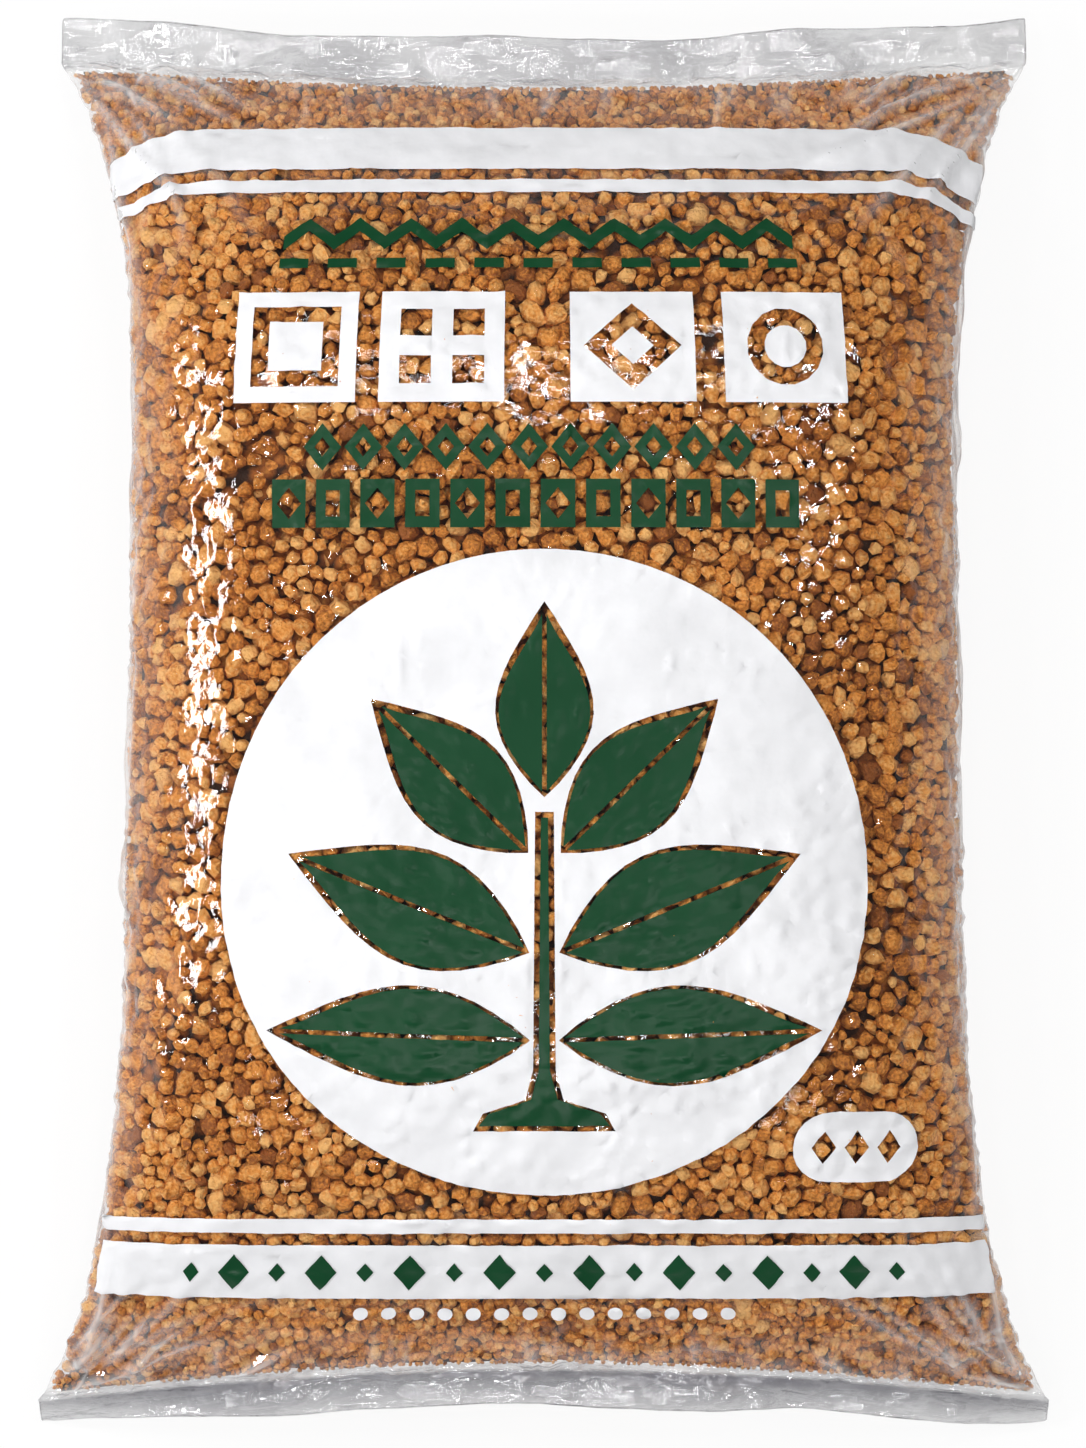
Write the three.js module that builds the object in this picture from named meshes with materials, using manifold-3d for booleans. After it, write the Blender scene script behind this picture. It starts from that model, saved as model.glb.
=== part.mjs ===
// A clear film pillow bag holding 14 litres of fired clay granules for bonsai, lying on its back.
// Millimetres. +Z is up, out of the bag's front. +Y points to the end that is filled and sealed last.
// The origin is on the surface the bag lies on, under the middle of its outline.
//
// The bag is one piece of film: a blown tube, laid flat, sealed straight across both ends.
// Laid flat it is a rectangle. Filling it draws the sides in, because the film doesn't stretch,
// and leaves the four corners standing out as ears. The soil fills that shape from inside.

import * as THREE from "three";
import { ParametricGeometry } from "three/addons/geometries/ParametricGeometry.js";
import { mergeVertices } from "three/addons/utils/BufferGeometryUtils.js";
import Module from "manifold-3d";

// The film tube and its two seals
const FILM = 0.12; // thickness of one layer of film
const TUBE_WIDTH = 400; // lay-flat width of the tube
const TOP_GATHER = 18; // width that the top seal loses to its gathers
const TOP_FIN = 20; // sealed strip beyond the top seal line
const BOTTOM_FIN = 17; // sealed strip beyond the bottom seal line
const TOP_FIN_DROOP = 4; // how far the top strip's outer edge hangs below the seal line
const BOTTOM_FIN_DROOP = 3; // the same at the middle of the bottom strip
const EDGE_CLEARANCE = 0.4; // a strip that hangs down stops this far above the surface

// The filled shape
const BODY_LENGTH = 499; // from seal line to seal line along the middle
const FILL_DEPTH = 116; // from the back of the bag to its front, in the middle
const TOP_BOW = 11; // how far the corners of the top seal stand past its middle
const BOTTOM_BOW = 16; // the same at the bottom seal
const SEAL_HEIGHT = 42; // height of both seal lines at their middle
const CORNER_HEIGHT = 14; // height of a seal line at its ends
const SIDE_HEIGHT = 48; // height of the widest line along each side
const TOP_RISE = 150; // the front climbs to its full depth over this length from the top seal
const BOTTOM_RISE = 190; // the same from the bottom seal
const BACK_LIFT = 80; // the back leaves the surface this far from a seal line
const SEAL_REACH = 95; // a seal's own line shapes the sides for this far
const FLAT_SHARE = 0.66; // share of the width over which the back lies flat
const RISE_POWER = 2.2; // how blunt the two ends are
const SHOULDER_POWER = 2.6; // 2 is a round shoulder, and more is a squarer one
const CORNER_POWER = 2.4; // how late a seal line turns down to its corners

// Gathers that run into the bag from each seal
const GATHERS = 5;
const GATHER_DEPTH = 1.8; // from a ridge to the mean surface
const GATHER_REACH = 16; // distance from the seal line to where they stand highest

// Air holes punched through the back, which let a stack of bags settle
const VENT_DIAMETER = 3;
const VENT_SPACING = 120;
const VENT_FROM_SEAL = 130; // from the top seal line to the holes
const VENT_SIDES = 12;

// The soil
const SOIL_GAP = 0.3; // clearance between the film and what it holds

// How finely the surfaces are divided
const ACROSS = 36; // strips over the front, and as many over the back
const ALONG = 24; // rows from seal to seal

// Film doesn't stretch, so the tube keeps its girth as it fills. A filled section with round sides
// is narrower than the flat tube by this share of its depth.
const SIDE_DRAW = Math.PI / 2 - 1;

// The seal lines end in the four corners of the bag. The outline is centred on the origin.
const CORNER_LENGTH = TOP_BOW + BODY_LENGTH + BOTTOM_BOW;
const TOP_CORNER_FIN = finReach(TOP_FIN, TOP_FIN_DROOP);
const BOTTOM_CORNER_FIN = finReach(BOTTOM_FIN, CORNER_HEIGHT - EDGE_CLEARANCE);
const TOP_CORNER_Y = (CORNER_LENGTH + BOTTOM_CORNER_FIN - TOP_CORNER_FIN) / 2;
const BOTTOM_CORNER_Y = TOP_CORNER_Y - CORNER_LENGTH;

// Rows from seal to seal, closer together towards both seals.
const ROWS = Array.from({ length: ALONG + 1 }, (_, i) => (1 - Math.cos((Math.PI * i) / ALONG)) / 2);

const wasm = await Module();
wasm.setup();

// How far a strip of film reaches in plan when its outer edge hangs lower by `droop`.
function finReach(fin, droop) {
  return Math.sqrt(fin * fin - droop * droop);
}

function mix(a, b, share) {
  return a + (b - a) * share;
}

// From 1 at a distance of 0 down to 0 at `reach` and beyond.
function fade(distance, reach, power) {
  return Math.max(0, 1 - distance / reach) ** power;
}

// A place on the bag is given by `x`, which runs across from -1 to 1, and `along`, which runs from
// 0 at the bottom seal line to 1 at the top one. Its distance from both seals is taken in the middle.
function fromBottom(along) {
  return along * BODY_LENGTH;
}

function fromTop(along) {
  return (1 - along) * BODY_LENGTH;
}

// 1 on both seal lines, down to 0 at `reach` from them and beyond.
function nearSeals(along, reach) {
  return fade(fromBottom(along), reach, 2) + fade(fromTop(along), reach, 2);
}

// Height of the sheet between the bag's two faces. It ends in the side folds and the seal lines.
function sheetHeight(x, along) {
  const seal = mix(SEAL_HEIGHT, CORNER_HEIGHT, Math.abs(x) ** CORNER_POWER);
  return mix(SIDE_HEIGHT, seal, nearSeals(along, SEAL_REACH));
}

// Height of the film's inner face along the middle of the front.
function frontHeight(along) {
  const offBottom = 1 - fade(fromBottom(along), BOTTOM_RISE, RISE_POWER);
  const offTop = 1 - fade(fromTop(along), TOP_RISE, RISE_POWER);
  return mix(SEAL_HEIGHT, FILL_DEPTH - FILM, offBottom * offTop);
}

// Height of the film's inner face along the middle of the back.
function backHeight(along) {
  return mix(FILM, SEAL_HEIGHT, nearSeals(along, BACK_LIFT));
}

// Ridges and valleys across the front, which fade out away from both seals.
function gathers(x, along) {
  const swell = (distance) => (distance / GATHER_REACH) * Math.exp(1 - distance / GATHER_REACH);
  const wave = Math.cos(Math.PI * GATHERS * x);
  return GATHER_DEPTH * wave * (swell(fromBottom(along)) + swell(fromTop(along)));
}

// How far the front stands above the sheet, on the shape grown by `grow` on every side.
function frontRise(x, along, grow) {
  const shoulder = (1 - Math.abs(x) ** SHOULDER_POWER) ** (1 / SHOULDER_POWER);
  return (frontHeight(along) - sheetHeight(0, along) + gathers(x, along) + grow) * shoulder;
}

// How far the back hangs below the sheet. It never reaches below the surface that it lies on.
function backDrop(x, along, grow) {
  const past = Math.max(0, Math.abs(x) - FLAT_SHARE) / (1 - FLAT_SHARE);
  const turn = Math.sqrt(1 - past * past);
  const drop = (sheetHeight(0, along) - backHeight(along) + grow) * turn;
  return Math.min(drop, sheetHeight(x, along) - FILM + grow);
}

// Half the bag's inside width.
function halfWidth(along) {
  const depth = frontHeight(along) - backHeight(along);
  return (TUBE_WIDTH - TOP_GATHER * along - SIDE_DRAW * depth) / 2;
}

// Where a place lies along Y. The seal lines bow in at their middle.
function lengthwise(x, along) {
  const bow = 1 - x * x;
  return mix(BOTTOM_CORNER_Y + BOTTOM_BOW * bow, TOP_CORNER_Y - TOP_BOW * bow, along);
}

// A point on the shape grown by `grow`. `face` is 1 on the front, -1 on the back and 0 on the sheet.
function bodyPoint(x, along, face, grow) {
  const half = halfWidth(along);
  const across = x * (half + grow);
  const rise = face > 0 ? frontRise(x, along, grow) : -backDrop(x, along, grow);
  const height = sheetHeight(across / half, along) + (face === 0 ? 0 : rise);
  return new THREE.Vector3(across, lengthwise(across / half, along), height);
}

// A point on the cut edge of the sealed strip beyond a seal line, two layers thick. `end` is 1 at
// the top and 0 at the bottom, where the strip's corners hang to just above the surface.
function finPoint(x, end, face) {
  const root = bodyPoint(x, end, face, FILM);
  const bend = Math.abs(x) ** CORNER_POWER;
  const top = end === 1;
  const droop = top ? TOP_FIN_DROOP : mix(BOTTOM_FIN_DROOP, CORNER_HEIGHT - EDGE_CLEARANCE, bend);
  const reach = finReach(top ? TOP_FIN : BOTTOM_FIN, droop);
  return root.add(new THREE.Vector3(0, top ? reach : -reach, -droop));
}

// A closed skin through rows of sections. Each row is a function that gives the section's point at
// `x` on one face, and the first and last rows are closed with a flat edge.
function skin(rows) {
  const place = (around, along, target) => {
    const step = Math.round(around * 2 * ACROSS) % (2 * ACROSS);
    const onFront = step <= ACROSS;
    const turn = (onFront ? step : 2 * ACROSS - step) / ACROSS;
    const x = -Math.cos(Math.PI * turn);
    const row = Math.round(along * (rows.length + 1)) - 1;
    const closing = row < 0 || row === rows.length;
    const sheet = closing || turn === 0 || turn === 1;
    const section = rows[THREE.MathUtils.clamp(row, 0, rows.length - 1)];
    target.copy(section(x, sheet ? 0 : onFront ? 1 : -1));
  };
  return solid(new ParametricGeometry(place, 2 * ACROSS, rows.length + 1));
}

// A three.js geometry as a solid that can be cut. Corners that fall on each other become one, and
// the triangles that this leaves without a width go.
function solid(geometry) {
  const bare = geometry.clone();
  bare.deleteAttribute("normal");
  bare.deleteAttribute("uv");
  const merged = mergeVertices(bare, 1e-4);
  const corners = merged.index.array;
  const kept = [];
  for (let i = 0; i < corners.length; i += 3) {
    const [a, b, c] = corners.slice(i, i + 3);
    if (a !== b && b !== c && c !== a) kept.push(a, b, c);
  }
  const vertProperties = merged.attributes.position.array;
  const triVerts = new Uint32Array(kept);
  return new wasm.Manifold(new wasm.Mesh({ numProp: 3, vertProperties, triVerts }));
}

// One named mesh of the model.
function mesh(name, made, material) {
  const { vertProperties, triVerts } = made.getMesh();
  const indexed = new THREE.BufferGeometry();
  indexed.setAttribute("position", new THREE.BufferAttribute(vertProperties, 3));
  indexed.setIndex(new THREE.BufferAttribute(triVerts, 1));
  const geometry = indexed.toNonIndexed();
  geometry.computeVertexNormals();
  const piece = new THREE.Mesh(geometry, material);
  piece.name = name;
  return piece;
}

// The outside of the film: the filled shape one layer out, with the sealed strip at each end.
function filmOutside() {
  return skin([
    (x, face) => finPoint(x, 0, face),
    ...ROWS.map((along) => (x, face) => bodyPoint(x, along, face, FILM)),
    (x, face) => finPoint(x, 1, face),
  ]);
}

// The space inside the film.
function filmInside() {
  return skin(ROWS.map((along) => (x, face) => bodyPoint(x, along, face, 0)));
}

// An air hole through the back. `side` is -1 or 1.
function vent(side) {
  const radius = VENT_DIAMETER / 2;
  const length = 10 * FILM; // well through the film on both sides
  const punch = new THREE.CylinderGeometry(radius, radius, length, VENT_SIDES);
  punch.rotateX(Math.PI / 2);
  punch.translate((side * VENT_SPACING) / 2, TOP_CORNER_Y - TOP_BOW - VENT_FROM_SEAL, 0);
  return solid(punch);
}

function filmBag() {
  const shell = filmOutside().subtract(filmInside());
  return [-1, 1].reduce((film, side) => film.subtract(vent(side)), shell);
}

// The soil as one body. It stops one row short of each seal line, where the film comes together.
function soilFill() {
  const filled = ROWS.slice(1, -1);
  return skin(filled.map((along) => (x, face) => bodyPoint(x, along, face, -SOIL_GAP)));
}

const film = new THREE.MeshStandardMaterial({
  color: 0xd7d8dc,
  roughness: 0.12,
  metalness: 0,
  transparent: true,
  opacity: 0.35,
});
const clay = new THREE.MeshStandardMaterial({ color: 0xbe7a40, roughness: 0.9, metalness: 0 });

const group = new THREE.Group();
group.add(mesh("film_bag", filmBag(), film));
group.add(mesh("soil_fill", soilFill(), clay));

export default group;
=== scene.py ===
"""A clear film bag of fired clay granules, lying on its back and seen from above."""

import math

import bmesh
import bpy
import numpy as np
from bpy.props import FloatProperty, FloatVectorProperty, IntProperty, PointerProperty
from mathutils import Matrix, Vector, noise
from mathutils.bvhtree import BVHTree
from mathutils.kdtree import KDTree


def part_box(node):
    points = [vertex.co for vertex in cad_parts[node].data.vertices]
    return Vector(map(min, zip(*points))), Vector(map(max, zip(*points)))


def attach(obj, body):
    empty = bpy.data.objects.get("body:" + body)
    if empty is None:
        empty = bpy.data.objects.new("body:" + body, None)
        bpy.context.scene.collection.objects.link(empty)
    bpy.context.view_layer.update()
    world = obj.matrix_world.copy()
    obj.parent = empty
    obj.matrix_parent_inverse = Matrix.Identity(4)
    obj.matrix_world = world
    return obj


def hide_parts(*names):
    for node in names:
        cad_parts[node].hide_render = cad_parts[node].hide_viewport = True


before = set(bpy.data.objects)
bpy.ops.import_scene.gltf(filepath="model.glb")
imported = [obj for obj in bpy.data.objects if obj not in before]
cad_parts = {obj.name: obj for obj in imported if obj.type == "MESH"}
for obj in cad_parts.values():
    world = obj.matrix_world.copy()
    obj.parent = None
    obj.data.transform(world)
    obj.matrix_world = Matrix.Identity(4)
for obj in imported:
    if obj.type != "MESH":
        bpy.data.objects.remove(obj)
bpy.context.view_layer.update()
FILM_LOW, FILM_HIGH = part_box("film_bag")

bl_info = {
    "name": "Bag of Bonsai Soil",
    "version": (1, 0, 0),
    "blender": (4, 5, 0),
    "location": "3D View > Sidebar > Soil Bag",
    "description": "Makes a clear film bag of clay granules around its packed model",
    "category": "Object",
}


FILM_THICKNESS = 0.00012
LAY_FLAT_WIDTH = FILM_HIGH.x - FILM_LOW.x - 2 * FILM_THICKNESS


def length_property(name, description, default):
    return FloatProperty(name=name, description=description, default=default, unit="LENGTH")


def colour_property(name, description, default):
    return FloatVectorProperty(name=name, description=description, default=default, subtype="COLOR", size=3)


class FilmSizes(bpy.types.PropertyGroup):
    """The film tube, its seals and the form that it is filled to."""

    thickness: length_property("Thickness", "One layer of film", FILM_THICKNESS)
    width: length_property("Lay-flat width", "Width of the tube before it is filled", LAY_FLAT_WIDTH)
    length: length_property("Filled length", "From seal line to seal line along the middle", 0.499)
    depth: length_property("Filled depth", "From the back of the bag to its front", FILM_HIGH.z)
    cut_length: length_property("Cut length", "From seal line to seal line while the tube lies flat", 0.548)
    slack: FloatProperty(
        name="Slack", description="Share of the width by which the film is loose", default=0.012
    )
    top_fin: length_property("Top strip", "Sealed strip at the top", 0.020)
    bottom_fin: length_property("Bottom strip", "Sealed strip at the bottom", 0.017)
    columns: IntProperty(name="Columns", description="Divisions across one layer", default=90)
    rows: IntProperty(name="Rows", description="Divisions from seal to seal", default=120)
    strip_colour: colour_property("Strip haze", "Haze in the sealed strips", (0.200, 0.195, 0.222))
    body_colour: colour_property("Haze", "The faint haze in the rest of the film", (0.66, 0.63, 0.63))


class GranuleSizes(bpy.types.PropertyGroup):
    """The fired clay granules."""

    radius: length_property("Middle radius", "Radius of a middling granule", 0.0035)
    spread: FloatProperty(name="Spread", description="How much the sizes differ", default=0.26)
    smallest: length_property("Smallest", "Smallest radius in a layer", 0.0019)
    largest: length_property("Largest", "Largest radius in a layer", 0.0054)
    cover: FloatProperty(name="Cover", description="Share of a layer that granules cover", default=1.02)
    stand_off: length_property("Stand-off", "How far the granules stay from the film's side folds", 0.0018)
    dark: colour_property("Dark clay", "Darkest granules", (0.33, 0.094, 0.011))
    middle: colour_property("Clay", "Middling granules", (0.82, 0.300, 0.040))
    pale: colour_property("Pale clay", "Palest granules", (0.98, 0.53, 0.17))


class PrintSizes(bpy.types.PropertyGroup):
    """The print on the front. Heights run up the flat film from the bottom seal line."""

    band_half: length_property("Band half width", "From the middle to a band's end", 0.188)
    top_band: length_property("Top band", "Middle of the broad band at the top", 0.5097)
    low_band: length_property("Low band", "Middle of the broad band at the bottom", 0.0502)
    block_middle: length_property("Block row", "Middle of the row of four blocks", 0.4188)
    disc_middle: length_property("Disc height", "Middle of the large disc", 0.213)
    disc_radius: length_property("Disc radius", "Radius of the large disc", 0.127)
    outline: length_property("Outline", "Bare film left round a leaf", 0.0022)
    cell: length_property("Cell", "Size of the squares that ink is divided into", 0.0025)
    white: colour_property("White ink", "Colour of the white ink", (0.86, 0.86, 0.88))
    green: colour_property("Green ink", "Colour of the green ink", (0.003, 0.055, 0.018))


def mix(a, b, share):
    return a + (b - a) * share


def fade(distance, reach, power):
    """1 at no distance, falling to 0 at `reach`."""
    return np.maximum(0.0, 1 - distance / reach) ** power


def bell(distance, reach):
    """1 at no distance, falling softly on both sides."""
    return np.exp(-((distance / reach) ** 2))


class FilledForm:
    """The form that the filled bag takes. `x` runs across from -1 to 1, and `along` from 0 at the
    bottom seal line to 1 at the top one."""

    top_gather = 0.018
    top_bow, bottom_bow = 0.011, 0.016
    seal_height, corner_height, side_height = 0.042, 0.014, 0.048
    top_rise, bottom_rise, back_lift, seal_reach = 0.150, 0.190, 0.080, 0.095
    flat_share, rise_power, shoulder_power, corner_power = 0.66, 2.2, 2.6, 2.4
    side_draw = math.pi / 2 - 1
    top_droop, bottom_droop, edge_clearance = 0.004, 0.003, 0.0004

    def __init__(self, film):
        self.film = film
        corner_length = self.top_bow + film.length + self.bottom_bow
        self.corner_drop = self.corner_height - self.edge_clearance
        top_reach = math.sqrt(film.top_fin**2 - self.top_droop**2)
        bottom_reach = math.sqrt(film.bottom_fin**2 - self.corner_drop**2)
        self.top_y = (corner_length + bottom_reach - top_reach) / 2
        self.bottom_y = self.top_y - corner_length

    def near_seals(self, along, reach):
        length = self.film.length
        return fade(along * length, reach, 2) + fade((1 - along) * length, reach, 2)

    def sheet(self, x, along):
        seal = mix(self.seal_height, self.corner_height, np.abs(x) ** self.corner_power)
        return mix(self.side_height, seal, self.near_seals(along, self.seal_reach))

    def front(self, along):
        length = self.film.length
        off_bottom = 1 - fade(along * length, self.bottom_rise, self.rise_power)
        off_top = 1 - fade((1 - along) * length, self.top_rise, self.rise_power)
        return mix(self.seal_height, self.film.depth, off_bottom * off_top)

    def back(self, along):
        return mix(0.0, self.seal_height, self.near_seals(along, self.back_lift))

    def half_width(self, along):
        depth = self.front(along) - self.back(along)
        return (self.film.width - self.top_gather * along - self.side_draw * depth) / 2

    def point(self, x, along, layer):
        """Points on the front, where `layer` is 1, or on the back, where it is -1."""
        middle = self.sheet(0 * x, along)
        if layer > 0:
            shoulder = np.maximum(0, 1 - np.abs(x) ** self.shoulder_power) ** (1 / self.shoulder_power)
            rise = (self.front(along) - middle) * shoulder
        else:
            past = np.clip((np.abs(x) - self.flat_share) / (1 - self.flat_share), 0, 1)
            drop = (middle - self.back(along)) * np.sqrt(1 - past**2)
            rise = -np.minimum(drop, self.sheet(x, along))
        bow = 1 - x**2
        y = mix(self.bottom_y + self.bottom_bow * bow, self.top_y - self.top_bow * bow, along)
        return np.stack([x * self.half_width(along), y, self.sheet(x, along) + rise], -1)

    def fin(self, seal, end, rows, sheet_gap):
        """Rows of points on a sealed strip, from its seal line out to its edge."""
        x = np.linspace(-1, 1, len(seal))
        if end > 0:
            width, droop = self.film.top_fin, self.top_droop + 0 * x
        else:
            width = self.film.bottom_fin
            droop = mix(self.bottom_droop, self.corner_drop, np.abs(x) ** self.corner_power)
        step = np.stack([0 * x, end * np.sqrt(width**2 - droop**2), -droop], -1) / rows
        down = np.array([0, 0, -sheet_gap])
        return [seal + step * k + down for k in range(1, rows + 1)]


def resample(points, count):
    """Points at even steps of length along a curve, given as an array whose first axis runs along it."""
    steps = np.linalg.norm(np.diff(points, axis=0), axis=-1)
    place = np.concatenate([[0], np.cumsum(steps)])
    even = np.linspace(0, place[-1], count)
    return np.stack([np.interp(even, place, points[:, k]) for k in range(3)], -1)


def filled_layer(form, layer, columns, rows):
    """One layer of the filled film as an array of points, its rows from seal to seal."""
    x = np.sin(np.linspace(-np.pi / 2, np.pi / 2, 301))
    along = (1 - np.cos(np.linspace(0, np.pi, 401))) / 2
    xs, alongs = np.meshgrid(x, along)
    fine = form.point(xs, alongs, layer)
    meridians = np.stack([resample(fine[:, i], rows + 1) for i in range(len(x))], 1)
    return np.stack([resample(row, columns + 1) for row in meridians])


def unit(vectors):
    return vectors / np.maximum(np.linalg.norm(vectors, axis=-1, keepdims=True), 1e-12)


def bilinear(grid, rows, columns):
    """Values of a grid of points at fractional rows and columns."""
    r = np.clip(rows, 0, grid.shape[0] - 1.001)
    c = np.clip(columns, 0, grid.shape[1] - 1.001)
    r0, c0 = r.astype(int), c.astype(int)
    fr, fc = (r - r0)[:, None], (c - c0)[:, None]
    low = mix(grid[r0, c0], grid[r0, c0 + 1], fc)
    high = mix(grid[r0 + 1, c0], grid[r0 + 1, c0 + 1], fc)
    return mix(low, high, fr)


def vectors(items, field):
    """The vectors that the items of a mesh hold in a field, as rows of an array."""
    found = np.zeros(len(items) * 3, np.float32)
    items.foreach_get(field, found)
    return found.reshape(-1, 3).astype(float)


def coordinates(mesh):
    return vectors(mesh.vertices, "co")


def vertex_normals(mesh):
    return vectors(mesh.vertex_normals, "vector")


LAID = "laid_flat"


def laid_places(mesh):
    """For each vertex its place across, its place along and its layer, each from -1 to 1."""
    return vectors(mesh.attributes[LAID].data, "vector")


def set_coordinates(mesh, points):
    mesh.vertices.foreach_set("co", np.asarray(points, np.float32).ravel())
    mesh.update()


def mesh_of(bm, name):
    """The mesh of a bmesh, which is used up."""
    mesh = bpy.data.meshes.new(name)
    bm.to_mesh(mesh)
    bm.free()
    return mesh


def add_object(name, data):
    made = bpy.data.objects.new(name, data)
    bpy.context.scene.collection.objects.link(made)
    return made


def evaluated_mesh(piece):
    """A plain mesh of an object with its modifiers applied."""
    graph = bpy.context.evaluated_depsgraph_get()
    return bpy.data.meshes.new_from_object(piece.evaluated_get(graph))


def remove_objects(*pieces):
    for piece in pieces:
        mesh = piece.data
        bpy.data.objects.remove(piece)
        bpy.data.meshes.remove(mesh)


def finish_piece(name, mesh, material, replaced=()):
    """The object of a finished mesh, riding on the bag."""
    mesh.materials.clear()
    mesh.materials.append(material)
    mesh.shade_smooth()
    piece = add_object(name, mesh)
    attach(piece, "root")
    if replaced:
        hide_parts(*replaced)
    return piece


class Signal:
    """One output of a shader node. Sums and products with others or with numbers become Math nodes."""

    def __init__(self, shading, socket):
        self.shading = shading
        self.socket = socket

    def out(self, name):
        return Signal(self.shading, self.socket.node.outputs[name])

    def math(self, operation, *values):
        return self.shading.node("Math", {"operation": operation}, dict(enumerate(values)))

    def __add__(self, other):
        return self.math("ADD", self, other)

    def __radd__(self, other):
        return self.math("ADD", other, self)

    def __sub__(self, other):
        return self.math("SUBTRACT", self, other)

    def __rsub__(self, other):
        return self.math("SUBTRACT", other, self)

    def __mul__(self, other):
        return self.math("MULTIPLY", self, other)

    def __rmul__(self, other):
        return self.math("MULTIPLY", other, self)

    def __pow__(self, other):
        return self.math("POWER", self, other)


class Shading:
    """The node tree of a material or a world, built up node by node."""

    def __init__(self, holder):
        self.holder = holder
        holder.use_nodes = True
        self.tree = holder.node_tree
        self.tree.nodes.clear()

    def node(self, kind, settings=None, sockets=None):
        made = self.tree.nodes.new("ShaderNode" + kind)
        for name, value in (settings or {}).items():
            if name == "stops":
                self.set_stops(made.color_ramp, value)
            else:
                setattr(made, name, value)
        for key, value in (sockets or {}).items():
            self.feed(self.find(made.inputs, key), value)
        return Signal(self, next(s for s in made.outputs if s.enabled)) if made.outputs else made

    @staticmethod
    def find(sockets, key):
        if isinstance(key, int):
            return sockets[key]
        return next(s for s in sockets if s.enabled and key == s.name)

    @staticmethod
    def set_stops(ramp, stops):
        while len(ramp.elements) < len(stops):
            ramp.elements.new(0.5)
        for element, (place, colour) in zip(ramp.elements, stops):
            element.position = place
            element.color = (*colour, 1)

    def feed(self, socket, value):
        if isinstance(value, Signal):
            self.tree.links.new(value.socket, socket)
        elif isinstance(value, (int, float)):
            socket.default_value = value
        else:
            value = tuple(value)
            socket.default_value = value + (1,) if len(socket.default_value) == 4 else value

    def surface(self, shader):
        output = "OutputWorld" if isinstance(self.holder, bpy.types.World) else "OutputMaterial"
        self.node(output, None, {"Surface": shader})
        return self.holder

    def noise(self, place, scale, detail, **more):
        return self.node("TexNoise", None, {"Vector": place, "Scale": scale, "Detail": detail, **more})

    def attribute(self, name):
        return self.node("Attribute", {"attribute_name": name}).out("Fac")

    def ramp(self, value, *stops):
        return self.node("ValToRGB", {"stops": stops}, {0: value})

    def mapped(self, value, low, high, at_low, at_high):
        """A value whose range from low to high becomes the one from at_low to at_high, with no overshoot."""
        return self.node("MapRange", None, {"Value": value, 1: low, 2: high, 3: at_low, 4: at_high})

    def bump(self, height, strength, distance):
        return self.node("Bump", None, {"Strength": strength, "Distance": distance, "Height": height})

    def principled(self, colour, rough, **more):
        return self.node("BsdfPrincipled", None, {"Base Color": colour, "Roughness": rough, **more})

    def greatest(self, first, *others):
        for other in others:
            first = first.math("MAXIMUM", first, other)
        return first


def new_shading(name):
    return Shading(bpy.data.materials.new(name))


def fired_clay(sizes):
    """Rough fired clay with chips and pits, each granule in its own tone, with painted shade in the pits."""
    s = new_shading("fired_clay")
    place = s.node("TexCoord").out("Object")
    blotch = s.noise(place, 420.0, 3.0, Roughness=0.6)
    speckle = s.noise(place, 1100.0, 3.0, Roughness=0.7)
    chip = s.node("TexVoronoi", None, {"Vector": place, "Scale": 520.0})
    # Tone varies at random per granule, in blotches and in speckles; the chip term darkens it away from the
    # Voronoi cell middles, where the bump sinks, as painted shade in the pits.
    tone = s.attribute("tint") + (blotch - 0.5) * 1.1 + (speckle - 0.5) + (0.42 - chip) * 0.6
    colour = s.ramp(tone, (0.0, sizes.dark), (0.5, sizes.middle), (1.0, sizes.pale))
    bump = s.bump(blotch * 0.6 + speckle * 0.45 - chip * 0.5, 1.0, 0.0022)
    return s.surface(s.principled(colour, 0.50 + speckle * 0.3, Normal=bump))


def clay_in_shadow(sizes):
    """The same clay deep between the granules, where little light comes, painted dark as shade: darkest
    round the edges of round cells and lighter at their middles, as painted shade on painted granules.
    """
    s = new_shading("clay_in_shadow")
    place = s.node("TexCoord").out("Object")
    ball = s.node("TexVoronoi", None, {"Vector": place, "Scale": 165.0})
    height = 1.0 - ball + (s.noise(place, 420.0, 3.0) - 0.5) * 0.5
    # Painted shade: a deep and a lit copy of the clay's own colours.
    deep, lit = [0.10 * c for c in sizes.dark], [0.55 * c for c in sizes.middle]
    colour = s.ramp(height, (0.30, deep), (0.62, sizes.dark), (0.95, lit))
    return s.surface(s.principled(colour, 0.9, Normal=s.bump(height, 1.0, 0.004)))


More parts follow.
